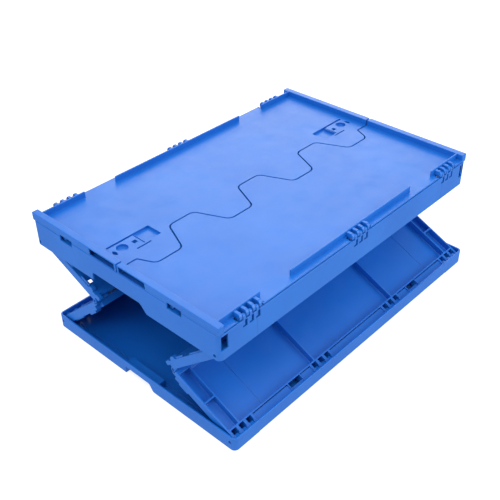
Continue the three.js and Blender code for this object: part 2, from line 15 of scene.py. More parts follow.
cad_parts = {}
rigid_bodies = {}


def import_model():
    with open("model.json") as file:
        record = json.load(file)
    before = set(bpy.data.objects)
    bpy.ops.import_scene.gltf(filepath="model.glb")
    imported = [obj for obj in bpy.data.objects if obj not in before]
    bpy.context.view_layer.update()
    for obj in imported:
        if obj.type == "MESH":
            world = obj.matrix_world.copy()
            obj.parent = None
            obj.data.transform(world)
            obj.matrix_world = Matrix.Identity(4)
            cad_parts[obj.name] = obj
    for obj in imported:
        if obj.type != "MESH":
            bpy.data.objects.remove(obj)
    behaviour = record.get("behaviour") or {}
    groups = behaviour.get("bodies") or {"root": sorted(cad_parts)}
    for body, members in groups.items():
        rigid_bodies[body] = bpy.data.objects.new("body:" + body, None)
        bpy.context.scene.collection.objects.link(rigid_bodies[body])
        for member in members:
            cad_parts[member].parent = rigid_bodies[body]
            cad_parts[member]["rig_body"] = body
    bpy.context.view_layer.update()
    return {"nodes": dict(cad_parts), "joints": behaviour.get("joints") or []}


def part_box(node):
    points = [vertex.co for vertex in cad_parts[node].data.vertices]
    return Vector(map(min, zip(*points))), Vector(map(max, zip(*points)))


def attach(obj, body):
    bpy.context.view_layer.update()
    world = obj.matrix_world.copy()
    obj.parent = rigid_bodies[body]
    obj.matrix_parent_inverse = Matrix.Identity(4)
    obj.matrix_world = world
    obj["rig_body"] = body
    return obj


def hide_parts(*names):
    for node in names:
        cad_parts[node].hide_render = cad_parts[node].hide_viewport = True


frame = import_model()

# ---------------------------------------------------------------- sizes, in millimetres
MM = 0.001
hinges = {joint["name"]: np.array(joint["pos_m"]) / MM for joint in frame["joints"]}


def span(node):
    """The lowest and the highest corner of a CAD node."""
    low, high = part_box(node)
    return np.array(low) / MM, np.array(high) / MM


HALF_LONG, HALF_WIDE, BASE_HEIGHT = span("base_tray")[1]
FRAME_AT = np.array([
    0.0,
    (hinges["front_lid_hinge"][1] + hinges["back_lid_hinge"][1]) / 2,
    span("top_frame")[0][2],
])
PIVOT_Y, BASE_PIVOT = hinges["back_base_raise"][1:]
FRAME_PIVOT = hinges["back_frame_raise"][2] - FRAME_AT[2]
LID_PIVOT_Y, LID_PIVOT_Z = (hinges["back_lid_hinge"] - FRAME_AT)[1:]
END_PIVOT_X, END_PIVOT_Z = (hinges["right_end_hinge"] - FRAME_AT)[[0, 2]]
LINK = math.dist(hinges["back_base_raise"], hinges["back_mid_raise"])
WALL_HALF = span("front_lower_wall")[1][0]

FRAME_HEIGHT = 44
SHELL = 3  # wall of the base rim and of the frame
FLOOR = 3
CORNER = 8  # radius of the upright corners
EDGE = 0.7  # radius of a moulded edge
BORE = 2.5
PAST = 1  # how far a cutting shape reaches past the face it starts from

WALL_THICK = 14
PIVOT_OFFSET = 5.5  # base and frame hinge lines, inside the outer face of the standing walls
WALL_RISE = math.sqrt(LINK**2 - PIVOT_OFFSET**2)
BARREL = 5.5  # hinge edge of a wall
KNUCKLE = 4  # hinge loops half way up a side
LOOP = 4.3  # radius of the hinge loops of the base and the frame
LOOP_ROOM = 5.2  # half height of the notch that clears such a loop
LOOP_WIDE = 6
LOOP_STEP = 15
LOOP_GAP = 0.7
BASE_GROUPS = np.array([-270.0, -93.0, 93.0, 270.0])
MID_GROUPS = np.array([-282.5, -140.0, 0.0, 140.0, 282.5])
FRAME_GROUPS = np.array([-272.0, -93.0, 93.0, 272.0])

END_OUTER = 6
END_INNER = 5.5
END_DROP = 285
END_HALF = 181
END_LOOPS = np.array([-117.0, 117.0])
END_LOOP_WIDE = 12

LID_BOTTOM = 45.2
LID_TOP = 47.8
BOSS_BOTTOM = 41.5  # of the thick part under the seal recesses
LID_EDGE = 199
LID_KNUCKLE = 3.4
LID_BORE = 1.5
LID_GROUPS = np.array([-240.0, 0.0, 240.0])
FINGER_PITCH = 12.5
FINGER_WIDE = 5
PIN_HALF = 23
ROD_SET_IN = 6  # the rods stop this far short of the ends of their CAD nodes
PIN_SET_IN = 2
STRIP_WIDE = 11.5
STRIP_TOP = 58
STRIP_SKIRT = 50.5
STRIP_FOOT = 44.4
STRIP_WALL = 2.2
END_SLOT = (103, 131)  # where the slots in the ends of the frame and the lids begin and end
END_SLOT_LOW = 37.5
END_SLOT_TOP = 47.5
RIB_FACE = 188
RIB_THICK = 2.5
WAVE_HALF = 28.5
WAVE_STEP = 75
FLANK = 12.5
WAVE_CORNER = 13
SPLIT_GAP = 1.1  # half of the joint between the lids


# ---------------------------------------------------------------- outlines
def filleted(corners, radii, steps=5):
    """A closed outline with its corners rounded. Each corner is swapped for the arc that touches both of its
    sides: its centre lies on the corner's bisector, radius / sin(half the corner's angle) away."""
    corner = np.asarray(corners, float)
    radius = np.broadcast_to(np.asarray(radii, float), len(corner))[:, None]
    back = np.roll(corner, 1, 0) - corner
    ahead = np.roll(corner, -1, 0) - corner
    back /= np.linalg.norm(back, axis=1, keepdims=True)
    ahead /= np.linalg.norm(ahead, axis=1, keepdims=True)
    half = np.arccos(np.clip((back * ahead).sum(1, keepdims=True), -1, 1)) / 2
    bisector = back + ahead
    bisector /= np.linalg.norm(bisector, axis=1, keepdims=True)
    centre = corner + bisector * radius / np.sin(half)
    start = corner + back * radius / np.tan(half) - centre
    end = corner + ahead * radius / np.tan(half) - centre
    cross = start[:, :1] * end[:, 1:] - start[:, 1:] * end[:, :1]
    turn = np.arctan2(cross, (start * end).sum(1, keepdims=True))
    angle = turn * np.linspace(0, 1, steps + 1)
    arc = np.stack([
        start[:, :1] * np.cos(angle) - start[:, 1:] * np.sin(angle),
        start[:, :1] * np.sin(angle) + start[:, 1:] * np.cos(angle),
    ], axis=2)
    points = (centre[:, None] + arc).reshape(-1, 2)
    apart = np.linalg.norm(points - np.roll(points, 1, 0), axis=1) > 1e-3
    return points[apart]


def rectangle(u0, u1, v0, v1, radius=EDGE, steps=3):
    """A rounded rectangle, or a plain one where the radius is 0."""
    return filleted([(u0, v0), (u1, v0), (u1, v1), (u0, v1)], radius, steps)


def circle(u, v, radius, sides=28):
    angle = np.linspace(0, 2 * math.pi, sides, endpoint=False)
    return np.stack([u + radius * np.cos(angle), v + radius * np.sin(angle)], axis=1)


def outward(outline):
    """How far each point of an outline moves for every millimetre that the outline grows: the sum of the
    normals of its two sides, divided by 1 plus their product."""
    side = np.roll(outline, -1, 0) - outline
    side /= np.linalg.norm(side, axis=1, keepdims=True)
    after = np.stack([side[:, 1], -side[:, 0]], axis=1)
    before = np.roll(after, 1, 0)
    return (after + before) / (1 + (after * before).sum(1, keepdims=True))


# ---------------------------------------------------------------- solids
# A solid is a stack of rings, an array of rings x points x 3, with flat faces over its first and last ring.
ORDER = {"x": [2, 0, 1], "y": [1, 2, 0], "z": [0, 1, 2]}


def stacked(outline, heights, insets, axis):
    """Rings of an outline, each at its own height along an axis and drawn in by its own inset. An outline
    across X is drawn as (y, z), one across Y as (z, x) and one across Z as (x, y)."""
    after = np.roll(outline, -1, 0)
    area = np.sum(outline[:, 0] * after[:, 1] - outline[:, 1] * after[:, 0])
    outline = outline if area > 0 else outline[::-1]
    rings = outline[None] - np.asarray(insets)[:, None, None] * outward(outline)[None]
    height = np.broadcast_to(np.asarray(heights)[:, None, None], rings.shape[:2] + (1,))
    return np.concatenate([rings, height], axis=2)[:, :, ORDER[axis]]


def quarter(radius, steps=3):
    """How a rounded edge runs from a flat face to an upright one: angles over a quarter turn, as the inset
    radius (1 - sin) and the distance from the flat face radius (1 - cos)."""
    if radius == 0:
        return np.zeros(1), np.zeros(1)
    angle = np.linspace(0, math.pi / 2, steps + 1)
    return radius * (1 - np.sin(angle)), radius * (1 - np.cos(angle))


def moulded(outline, low, high, bottom=EDGE, top=EDGE, axis="z"):
    """An outline drawn out between two heights, with its edges rounded at both."""
    inset_low, rise = quarter(bottom)
    inset_high, fall = quarter(top)
    heights = np.concatenate([low + rise, (high - fall)[::-1]])
    return stacked(outline, heights, np.concatenate([inset_low, inset_high[::-1]]), axis)


def well(outline, floor, rim, fillet=1.0, lip=0.5, axis="z"):
    """What is cut away to sink an outline from its rim to its floor: filleted round the floor, and flared
    by a quarter round at the rim."""
    inset_low, rise = quarter(fillet)
    angle = np.linspace(0, math.pi / 2, 4)
    heights = np.concatenate([floor + rise, rim - lip + lip * np.sin(angle), [rim + 1]])
    insets = np.concatenate([inset_low, -lip * (1 - np.cos(angle)), [-lip]])
    return stacked(outline, heights, insets, axis)


def bar(x0, x1, y0, y1, z0, z1, radius=EDGE):
    """A box with every edge rounded."""
    x0, x1 = min(x0, x1), max(x0, x1)
    y0, y1 = min(y0, y1), max(y0, y1)
    return moulded(rectangle(x0, x1, y0, y1, 1.3 * radius), z0, z1, radius, radius)


def block(x0, x1, y0, y1, z0, z1):
    """A sharp box, to cut with."""
    x0, x1 = min(x0, x1), max(x0, x1)
    y0, y1 = min(y0, y1), max(y0, y1)
    return moulded(rectangle(x0, x1, y0, y1, 0), z0, z1, 0, 0)


def rod(low, high, u, v, radius, axis="x", edge=0.4, sides=28):
    """A round bar along an axis, with its ends rounded."""
    return moulded(circle(u, v, radius, sides), low, high, edge, edge, axis)


def half_turn(solids):
    """The same solids, turned by half a turn about the upright axis."""
    return [solid * [-1, -1, 1] for solid in solids]


def both_ways(solids):
    return [*solids, *half_turn(solids)]


def sunk(x0, x1, z0, z1, face, depth, radius=2.0, fillet=1.0, lip=0.4):
    """A pocket cut into a face that looks along -Y."""
    outline = rectangle(z0, z1, -x1, -x0, radius)
    return half_turn([well(outline, -face - depth, -face, fillet, lip, "y")])[0]


# ---------------------------------------------------------------- meshes
workshop = bpy.data.collections.new("workshop")
bpy.context.scene.collection.children.link(workshop)


def as_object(solid, holder):
    """A stack of rings as a closed mesh object."""
    rings, around, _ = solid.shape
    first = np.arange(rings - 1)[:, None] * around + np.arange(around)
    ahead = np.arange(rings - 1)[:, None] * around + (np.arange(around) + 1) % around
    sides = np.stack([first, ahead, ahead + around, first + around], axis=2).reshape(-1, 4)
    last = np.arange(around) + (rings - 1) * around
    mesh = bpy.data.meshes.new("rings")
    ends = [np.arange(around)[::-1].tolist(), last.tolist()]
    mesh.from_pydata(solid.reshape(-1, 3), [], [*sides.tolist(), *ends])
    made = bpy.data.objects.new("rings", mesh)
    holder.objects.link(made)
    return made


def machined(*steps):
    """A mesh worked out from lists of solids. The first list is joined, the next is cut away from it, the
    third joined on, and so on in turn."""
    whole = as_object(steps[0][0], workshop)
    lists = [steps[0][1:], *steps[1:]]
    holders = []
    for turn, solids in enumerate(lists):
        if not solids:
            continue
        holder = bpy.data.collections.new("tools")
        workshop.children.link(holder)
        holders.append(holder)
        for solid in solids:
            as_object(solid, holder)
        step = whole.modifiers.new("step", "BOOLEAN")
        step.operation = "DIFFERENCE" if turn % 2 else "UNION"
        step.operand_type = "COLLECTION"
        step.collection = holder
        step.solver = "MANIFOLD"
    bpy.context.view_layer.update()
    worked = whole.evaluated_get(bpy.context.evaluated_depsgraph_get())
    mesh = bpy.data.meshes.new_from_object(worked)
    for used in [whole, *(obj for holder in holders for obj in holder.objects)]:
        rings = used.data
        bpy.data.objects.remove(used)
        bpy.data.meshes.remove(rings)
    for holder in holders:
        bpy.data.collections.remove(holder)
    return mesh


SMOOTH_UNDER = math.radians(35)


def piece(name, mesh, place, body, material, slot, *nodes):
    """A finished piece: the mesh is put in its place, shaded smooth across its rounded edges, and rides on a
    body in place of its CAD nodes."""
    mesh = mesh.copy()
    mesh.name = name
    mesh.transform(place)
    mesh.polygons.foreach_set("use_smooth", np.ones(len(mesh.polygons), bool))
    mesh.set_sharp_from_angle(angle=SMOOTH_UNDER)
    mesh.materials.clear()
    mesh.materials.append(material)
    made = bpy.data.objects.new(name, mesh)
    bpy.context.scene.collection.objects.link(made)
    normals = made.modifiers.new("flat_faces_stay_flat", "WEIGHTED_NORMAL")
    normals.keep_sharp = True
    normals.weight = 90
    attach(made, body)
    if nodes:
        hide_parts(*nodes)
    return made


def at(origin=(0, 0, 0), half=False, tilt=0.0):
    """Where a moulding goes: turned half round for the back or the right, tilted about X, and moved."""
    turn = Matrix.Rotation(math.pi, 4, "Z") if half else Matrix.Identity(4)
    return (
        Matrix.Scale(MM, 4)
        @ Matrix.Translation(Vector(origin))
        @ Matrix.Rotation(tilt, 4, "X")
        @ turn
    )


def between(start, end, reach, half):
    """Where a side half goes: from its own hinge line to the next, which it holds at reach, as (y, z)."""
    out_y = -reach[0] if half else reach[0]
    wanted = math.atan2(end[2] - start[2], end[1] - start[1])
    return at(start, half, wanted - math.atan2(reach[1], out_y))


# ---------------------------------------------------------------- finishes
def link(tree, source, output, target, socket):
    tree.links.new(source.outputs[output], target.inputs[socket])


def add_node(tree, kind, inputs=(), **settings):
    made = tree.nodes.new(kind)
    for name, value in settings.items():
        setattr(made, name, value)
    for name, value in dict(inputs).items():
        made.inputs[name].default_value = value
    return made


def moulded_blue():
    """Glossy blue polypropylene: faint cloudiness from the melt, a fine spark-eroded grain, scuffs that dull
    the gloss in patches, and edges that catch the light."""
    material = bpy.data.materials.new("moulded_blue")
    material.use_nodes = True
    tree = material.node_tree
    shader = tree.nodes["Principled BSDF"]
    shader.inputs["IOR"].default_value = 1.49
    shader.inputs["Specular IOR Level"].default_value = 0.5
    place = add_node(tree, "ShaderNodeTexCoord")
    cloud = add_node(tree, "ShaderNodeTexNoise", {"Scale": 9.0, "Detail": 3.0, "Roughness": 0.5})
    tint = add_node(tree, "ShaderNodeValToRGB")
    tint.color_ramp.elements[0].position = 0.3
    tint.color_ramp.elements[0].color = (0.004, 0.125, 0.530, 1)
    tint.color_ramp.elements[1].position = 0.7
    tint.color_ramp.elements[1].color = (0.007, 0.145, 0.583, 1)
    scuff = add_node(tree, "ShaderNodeTexNoise", {"Scale": 34.0, "Detail": 5.0, "Roughness": 0.62})
    spread = {"From Min": 0.35, "From Max": 0.7, "To Min": 0.33, "To Max": 0.46}
    gloss = add_node(tree, "ShaderNodeMapRange", spread)
    grain = add_node(tree, "ShaderNodeTexNoise", {"Scale": 1500.0, "Detail": 2.0})
    fine = add_node(tree, "ShaderNodeBump", {"Strength": 0.10, "Distance": 0.0002})
    edge = add_node(tree, "ShaderNodeBevel", {"Radius": 0.0007}, samples=6)
    for texture in (cloud, scuff, grain):
        link(tree, place, "Object", texture, "Vector")
    link(tree, cloud, "Fac", tint, "Fac")
    link(tree, tint, "Color", shader, "Base Color")
    link(tree, scuff, "Fac", gloss, "Value")
    link(tree, gloss, "Result", shader, "Roughness")
    link(tree, grain, "Fac", fine, "Height")
    link(tree, edge, "Normal", fine, "Normal")
    link(tree, fine, "Normal", shader, "Normal")
    return material


def drawn_steel():
    """Bright drawn wire: metal with fine lines round it from the die."""
    material = bpy.data.materials.new("drawn_steel")
    material.use_nodes = True
    tree = material.node_tree
    shader = tree.nodes["Principled BSDF"]
    shader.inputs["Base Color"].default_value = (0.5, 0.51, 0.53, 1)
    shader.inputs["Metallic"].default_value = 1.0
    place = add_node(tree, "ShaderNodeTexCoord")
    lines = add_node(tree, "ShaderNodeTexNoise", {"Scale": 420.0, "Detail": 3.0})
    dull = add_node(tree, "ShaderNodeMapRange", {"To Min": 0.24, "To Max": 0.46})
    ridge = add_node(tree, "ShaderNodeBump", {"Strength": 0.12, "Distance": 0.0002})
    link(tree, place, "Object", lines, "Vector")
    link(tree, lines, "Fac", dull, "Value")
    link(tree, dull, "Result", shader, "Roughness")
    link(tree, lines, "Fac", ridge, "Height")
    link(tree, ridge, "Normal", shader, "Normal")
    return material


BLUE = moulded_blue()
STEEL = drawn_steel()


# ---------------------------------------------------------------- shared shapes
def loop_centres(groups):
    """The middles of the hinge loops of a row of groups, three in each."""
    return (groups[:, None] + np.array([-LOOP_STEP, 0, LOOP_STEP])).ravel()


def grip_outline(depth, square, slope_foot, slope_run):
    """A grip cut-out, as (y, z): upright at one end, with a rounded corner, and an S of half a cosine wave
    from the full depth down to nothing at the other."""
    turn = np.linspace(0, math.pi, 17)
    along = slope_foot + slope_run * (1 - turn / math.pi)
    s_curve = np.stack([along, depth * (1 + np.cos(turn)) / 2], axis=1)
    corners = [(square, -2), (square, depth), (slope_foot + slope_run, depth), (slope_foot, -2)]
    upright = filleted(corners, [0, 4, 0, 0])[:-2]
    return np.concatenate([upright, s_curve, [(slope_foot - 0.01, -2)]])


# ---------------------------------------------------------------- base tray
GRIP_HALF = 33
GRIP_DEPTH = 13
GRIP_REACH = 17  # how far the grip cut-outs go in from the ends
GRIP_BOSS = 4  # the boss over a cut-out is this much wider and higher
RAIL_HALF = 172
END_PADS = (44, 70)  # from the crate's middle line, as the next two are
END_STOPS = (128, 140)
END_FINS = (64, 100, 156)
FIN_WIDE = 3
FEET = 249  # the corner feet begin this far from the middle
FEET_HIGH = 2.5
UNDER_RIB = 1.5  # half the thickness of the ribs under the floor
UNDER_DEEP = 1.2


def base_loops():
    """The hinge loops inside the front rim: a round loop, a web behind it and a foot under it."""
    rim = -HALF_WIDE + 1
    half = LOOP_WIDE / 2
    return [
        solid
        for x in loop_centres(BASE_GROUPS)
        for solid in (
            bar(x - half, x + half, rim, -PIVOT_Y, FLOOR - 1, BASE_PIVOT + LOOP, 0.5),
            block(x - half, x + half, -PIVOT_Y - 1, -PIVOT_Y + LOOP, FLOOR - 1, BASE_PIVOT),
            rod(x - half, x + half, -PIVOT_Y, BASE_PIVOT, LOOP),
        )
    ]


def base_end():
    """What stands inside the left end: the boss over the grip, the long rail, and the pads and stops."""
    x = -HALF_LONG
    low = FLOOR - 1
    boss_half = GRIP_HALF + GRIP_BOSS
    solids = [
        bar(x + 1, x + GRIP_REACH + 3, -boss_half, boss_half, low, GRIP_DEPTH + GRIP_BOSS, 1.5),
        bar(x + 20.5, x + 23, -RAIL_HALF, RAIL_HALF, low, FLOOR + 2, 0.8),
    ]
    for side in (-1, 1):
        pad = [side * y for y in END_PADS]
        stop = [side * y for y in END_STOPS]
        solids += [
            bar(x + 6, x + 14, *pad, low, FLOOR + 4, 0.8),
            bar(x + 1, x + 4.5, *stop, low, FLOOR + 9, 0.8),
        ]
        for y in END_FINS:
            solids.append(bar(x + 1, x + 4.5, side * y, side * (y + FIN_WIDE), low, BASE_HEIGHT - 2.5))
    return solids


def footprint(inset=0):
    """The crate's rounded outline, drawn in all round."""
    long = HALF_LONG - inset
    wide = HALF_WIDE - inset
    return rectangle(-long, long, -wide, wide, CORNER - inset, 8)


def base_tray():
    notch = grip_outline(GRIP_DEPTH, GRIP_HALF, -GRIP_HALF, 13)
    grip = moulded(notch, -HALF_LONG - PAST, -HALF_LONG + GRIP_REACH, 0, 0, "x")
    bores = []
    long_step = []
    for side in (-1, 1):
        bores.append(rod(-HALF_LONG - PAST, HALF_LONG + PAST, side * PIVOT_Y, BASE_PIVOT, BORE, edge=0))
        rim = (side * (HALF_WIDE - 1), side * (HALF_WIDE + PAST))
        long_step.append(block(-FEET, FEET, *rim, -PAST, FEET_HIGH))
    under_ribs_x = np.linspace(-279, 279, 10)
    under_ribs_y = np.linspace(-180, 180, 7)
    under = [
        block(x0 + UNDER_RIB, x1 - UNDER_RIB, y0 + UNDER_RIB, y1 - UNDER_RIB, -PAST, UNDER_DEEP)
        for x0, x1 in zip(under_ribs_x[:-1], under_ribs_x[1:])
        for y0, y1 in zip(under_ribs_y[:-1], under_ribs_y[1:])
    ]
    return machined(
        [moulded(footprint(), 0, BASE_HEIGHT, 1.2, 0.9)],
        [well(footprint(SHELL), FLOOR, BASE_HEIGHT, 2.0, 0.8)],
        both_ways([*base_end(), *base_loops()]),
        [*both_ways([grip]), *bores, *long_step, *under],
    )


# ---------------------------------------------------------------- side halves
# Drawn standing, with the outer face along -Y.
RIB = 1.25  # half the thickness of a rib
RAIL_TOP = 11  # the channels, slots and hinge notches of the lower rail end here
SLAT_ROOM = 5  # half the width of a hinge notch, above its rod
CROSS_RIB = 103
END_RIB = 271
WALL_RIM = 3
SKIN = 2.6
KNUCKLE_HALF = 3.5
KNUCKLE_ROOM = 4.2  # half the width of the notch that clears a loop of the other half
DRAINS = (142, 168)  # the open slots in the lower rail, from the middle
CHANNELS = [(-246, -169.5), (-140.5, -117), (-69, 69), (117, 140.5), (169.5, 246)]
CREASE_X = 217
LOOK_THROUGH = (280.5, 290)  # the small windows in the ends of the upper halves
LOOK_LOW, LOOK_HIGH = 23.5, 30
LOWER_KNUCKLES = MID_GROUPS
UPPER_KNUCKLES = (MID_GROUPS[:, None] + np.array([-8.5, 8.5])).ravel()


def side_pockets(face, low, high, middle):
    """The five sunk panels of a side half. The end ones are split by a rib at mid height."""
    depth = WALL_THICK - SKIN
    rim = WALL_HALF - WALL_RIM + RIB
    edges = [-rim, -END_RIB, -CROSS_RIB, CROSS_RIB, END_RIB, rim]
    pockets = []
    for x0, x1 in zip(edges[:-1], edges[1:]):
        is_end = abs(x0 + x1) > 2 * END_RIB
        rows = [(low, middle - RIB), (middle + RIB, high)] if is_end else [(low, high)]
        pockets += [sunk(x0 + RIB, x1 - RIB, z0, z1, face, depth) for z0, z1 in rows]
    return pockets


def knuckles(centres, y, z):
    return [rod(x - KNUCKLE_HALF, x + KNUCKLE_HALF, y, z, KNUCKLE) for x in centres]


def lower_wall():
    outer = -PIVOT_OFFSET
    inner = outer + WALL_THICK
    top = WALL_RISE - 0.5
    barrel = np.linspace(math.pi, 1.6 * math.pi, 14)
    barrel = BARREL * np.stack([np.cos(barrel), np.sin(barrel)], axis=1)
    corners = filleted([(inner, -1), (inner, top), (outer, top), (outer, 1)], [1.5, 1.2, 1.2, 0])
    slab = moulded(np.concatenate([barrel, corners[:-1]]), -WALL_HALF, WALL_HALF, 0.9, 0.9, "x")
    half = LOOP_WIDE / 2 + LOOP_GAP
    notches = [
        solid
        for x in loop_centres(BASE_GROUPS)
        for solid in (
            block(x - half, x + half, -BARREL - 1, inner + 1, -BARREL - 2, LOOP_ROOM),
            block(x - SLAT_ROOM, x + SLAT_ROOM, -BARREL - 1, inner + 1, BORE + 0.3, RAIL_TOP),
        )
    ]
    bosses = []
    drains = []
    tongue_room = []
    for side in (-1, 1):
        end = side * WALL_HALF
        slot = [side * x for x in DRAINS]
        bosses += [
            bar(end - side * 12, end, inner - 1, inner + 3.5, WALL_RISE - 38, WALL_RISE - 18, 1.2),
            bar(end - side * 7, end - side, inner - 1, inner + 2, 30, 62, 1.0),
        ]
        drains += [
            block(*slot, -BARREL - 1, outer + 2.4, -BARREL - 2, RAIL_TOP),
            block(*slot, -BARREL - 1, inner + 1, BORE + 0.3, RAIL_TOP),
        ]
        tongue_room.append(
            block(end - side * 9, end + side, outer + 7, inner + 5, WALL_RISE - 9, WALL_RISE + 1)
        )
    channels = [
        solid
        for x0, x1 in CHANNELS
        for solid in (
            block(x0, x1, outer - 1, outer + 2.2, -BARREL - 1, RAIL_TOP),
            block(x0, x1, outer - 1, outer + 5, RAIL_TOP - 1.5, RAIL_TOP),
        )
    ]
    skin_face = outer + WALL_THICK - SKIN
    creases = [
        sunk(x - 0.4, x + 0.4, 14, WALL_RISE - 12, skin_face, 0.5, 0.1, 0, 0.1)
        for x in (-CREASE_X, CREASE_X)
    ]
    reach = KNUCKLE + LOOP_GAP
    knuckle_room = [
        block(x - KNUCKLE_ROOM, x + KNUCKLE_ROOM, outer - 1, outer + reach, WALL_RISE - reach, WALL_RISE + 1)
        for x in UPPER_KNUCKLES
    ]
    bores = [
        rod(-WALL_HALF - 1, WALL_HALF + 1, 0, 0, BORE, edge=0),
        rod(-WALL_HALF - 1, WALL_HALF + 1, outer, WALL_RISE, BORE, edge=0),
    ]
    pockets = side_pockets(outer, 13.5, WALL_RISE - 11, 64)
    return machined(
        [slab, *bosses],
        [*pockets, *notches, *drains, *tongue_room, *channels, *creases, *knuckle_room],
        knuckles(LOWER_KNUCKLES, outer, WALL_RISE),
        bores,
    )


def upper_wall():
    inner = WALL_THICK
    barrel = np.linspace(0.3 * math.pi, math.pi, 16)
    barrel = np.array([PIVOT_OFFSET, WALL_RISE]) + BARREL * np.stack([np.cos(barrel), np.sin(barrel)], axis=1)
    corners = [(0, 0.5), (inner, 0.5), (inner, WALL_RISE + 2), (inner - 2, WALL_RISE + 4)]
    edge = filleted(corners, [1.2, 1.2, 1, 0])
    profile = np.concatenate([edge, barrel[:-1], [(0, WALL_RISE - 1)]])
    slab = moulded(profile, -WALL_HALF, WALL_HALF, 0.9, 0.9, "x")
    half = LOOP_WIDE / 2 + LOOP_GAP
    notches = [
        block(x - half, x + half, -1, inner + 1, WALL_RISE - LOOP_ROOM, WALL_RISE + BARREL + 2)
        for x in loop_centres(FRAME_GROUPS)
    ]
    ends = []
    windows = []
    for side in (-1, 1):
        end = side * WALL_HALF
        inside, outside = sorted([end - side * 8, end])
        window = sorted(side * x for x in LOOK_THROUGH)
        ends += [
            bar(inside, outside, 8, inner + 1.5, -7.5, 2, 1.0),
            rod(inside, outside, inner, 14, 5.5, edge=0.8),
            bar(end - side * 6, end - side * 2, inner - 1, inner + 2.5, 20, 40, 1.0),
            bar(end - side * 6, end - side * 2, inner - 1, inner + 2.0, 60, 104, 0.9),
        ]
        windows.append(sunk(*window, LOOK_LOW, LOOK_HIGH, 0, inner + 2, 1, 0, 0.3))
    reach = KNUCKLE + LOOP_GAP
    knuckle_room = [block(x - KNUCKLE_ROOM, x + KNUCKLE_ROOM, -1, reach, -1, reach) for x in LOWER_KNUCKLES]
    bores = [
        rod(-WALL_HALF - 1, WALL_HALF + 1, 0, 0, BORE, edge=0),
        rod(-WALL_HALF - 1, WALL_HALF + 1, PIVOT_OFFSET, WALL_RISE, BORE, edge=0),
    ]
    return machined(
        [slab, *ends],
        [*side_pockets(0, 11, WALL_RISE - 14, 66), *notches, *windows, *knuckle_room],
        knuckles(UPPER_KNUCKLES, 0, 0),
        bores,
    )


# ---------------------------------------------------------------- end wall, drawn hanging, outer face to -X
def end_wall():
    """The panel is drawn with its outer face along -Y like the side halves, then turned to face -X."""
    arc = np.linspace(0, math.pi, 16)
    head = END_INNER * np.stack([np.cos(arc), np.sin(arc)], axis=1)
    corners = [(-END_OUTER, 0), (-END_OUTER, -END_DROP), (END_INNER, -END_DROP), (END_INNER, 0)]
    foot = filleted(corners, [0, 2, 2, 0])
    slab = moulded(np.concatenate([head[1:-1], foot]), -END_HALF, END_HALF, 1.2, 1.2, "x")
    depth = END_OUTER + END_INNER - 2.5
    rows = [(-END_DROP + 6, -202), (-198, -133), (-129, -66)]
    columns = [(-END_HALF + 4, -88), (-85, 85), (88, END_HALF - 4)]
    pockets = [sunk(y0, y1, z0, z1, -END_OUTER, depth) for z0, z1 in rows for y0, y1 in columns]
    pockets += [
        sunk(-END_HALF + 4, -64, -62, -14, -END_OUTER, depth),
        sunk(64, END_HALF - 4, -62, -14, -END_OUTER, depth),
    ]
    hand = moulded(rectangle(-56, -26, -54, 54, 8, 8), -END_OUTER - 1, END_INNER + 1, 0, 0, "y")
    half = END_LOOP_WIDE / 2 + LOOP_GAP
    notches = [
        block(y - half, y + half, -END_OUTER - 1, END_INNER + 1, -LOOP_ROOM, END_OUTER + 1)
        for y in END_LOOPS
    ]
    bore = rod(-END_HALF - 1, END_HALF + 1, 0, 0, BORE, edge=0)
    mesh = machined([slab], [*pockets, hand, *notches, bore])
    mesh.transform(Matrix.Rotation(-math.pi / 2, 4, "Z"))
    return mesh


# ---------------------------------------------------------------- top frame
SEAT_LOW, SEAT_HIGH = 30.5, 43.5  # the housings behind the lid hinges
SEAT_DEEP = 9
SLOT_DEEP = 7.8  # the L-shaped slots in front of them
WINDOW = (283.5, 296.5)
WINDOW_LOW, WINDOW_HIGH = 17, 41
PARTING_X = 228
BRACKET = (184, 189.5)  # holds the tip of an end wall's rod, from the middle line
LOOP_LINES = (LID_GROUPS[:, None] + FINGER_PITCH * np.array([-1, 0, 1])).ravel()
FINGER_LINES = (LID_GROUPS[:, None] + FINGER_PITCH * np.array([-1.5, -0.5, 0.5, 1.5])).ravel()


def frame_side():
    """The front side's hinge loops, one row for the side walls below and one for the lid above."""
    solids = []
    half = LOOP_WIDE / 2
    for x in loop_centres(FRAME_GROUPS):
        solids += [
            bar(x - half, x + half, -HALF_WIDE + 1, -PIVOT_Y, FRAME_PIVOT - LOOP, FRAME_PIVOT + 8, 0.5),
            block(x - half, x + half, -PIVOT_Y - 1, -PIVOT_Y + 3, FRAME_PIVOT, FRAME_PIVOT + 8),
            rod(x - half, x + half, -PIVOT_Y, FRAME_PIVOT, LOOP),
        ]
    seat_half = PIN_HALF - 2
    for x in LID_GROUPS:
        seat = [-HALF_WIDE + 1, -HALF_WIDE + SEAT_DEEP]
        solids.append(bar(x - seat_half, x + seat_half, *seat, SEAT_LOW, SEAT_HIGH, 1.0))
    half = FINGER_WIDE / 2 - 0.1
    for x in LOOP_LINES:
        solids += [
            rod(x - half, x + half, -LID_PIVOT_Y, LID_PIVOT_Z, LID_KNUCKLE),
            block(x - half, x + half, -HALF_WIDE, -LID_PIVOT_Y + 2.6, FRAME_HEIGHT - 3, LID_PIVOT_Z),
        ]
    return solids


def frame_end():
    """The left end's loops for the end wall and the brackets for its rod."""
    x = -HALF_LONG + 1
    low = END_PIVOT_Z - LOOP
    high = END_PIVOT_Z + LOOP
    half = END_LOOP_WIDE / 2
    solids = []
    for y in END_LOOPS:
        solids += [
            bar(x, -END_PIVOT_X, y - half, y + half, low, high, 0.5),
            rod(y - half, y + half, END_PIVOT_Z, -END_PIVOT_X, LOOP, "y"),
        ]
    for side in (-1, 1):
        bracket = [side * y for y in BRACKET]
        solids.append(bar(x, -END_PIVOT_X + LOOP, *bracket, low, high, 0.5))
    return solids


